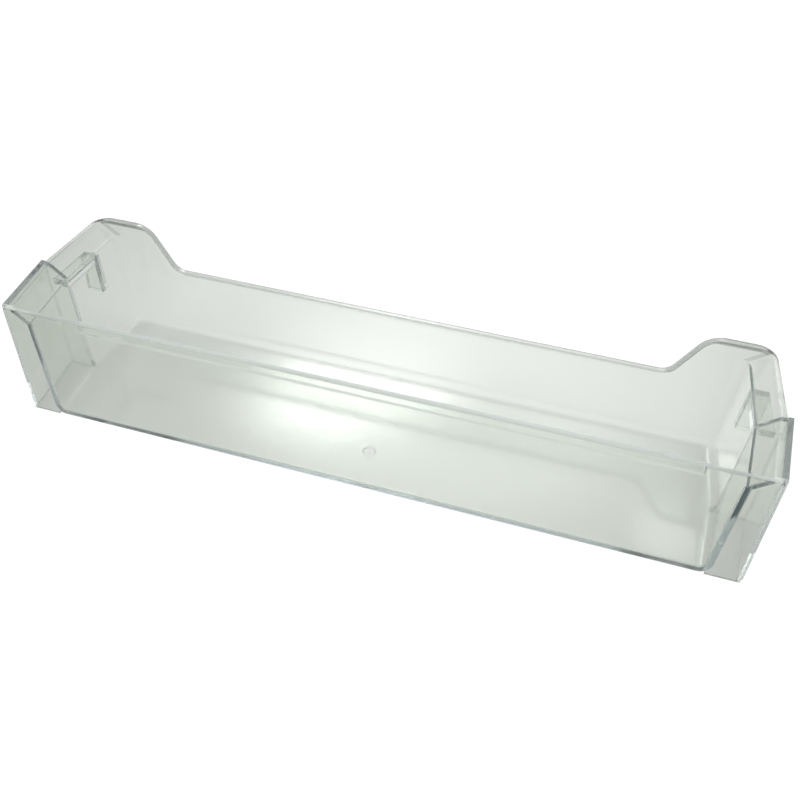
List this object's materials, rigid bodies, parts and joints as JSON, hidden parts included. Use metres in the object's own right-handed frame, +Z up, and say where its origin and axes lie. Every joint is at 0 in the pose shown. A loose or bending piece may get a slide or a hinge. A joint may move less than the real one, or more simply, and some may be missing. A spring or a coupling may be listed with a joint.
{
  "type": "fridge door shelf",
  "caption": "Long clear plastic trough that hangs on the inside of a fridge door, with a straight front plate, a lowered back wall and a hanger hook under each end ledge.",
  "frame": {"origin": "middle of the footprint, on the level of the underside", "axes": "+X along the shelf, -Y towards the front plate, +Z up"},
  "size_m": [0.4846, 0.1134, 0.0875],
  "materials": {
    "clear_plastic": "clear, polished, with a faint grey-green tint"
  },
  "bodies": {
    "root": {"door_shelf": "clear_plastic"}
  },
  "joints": []
}
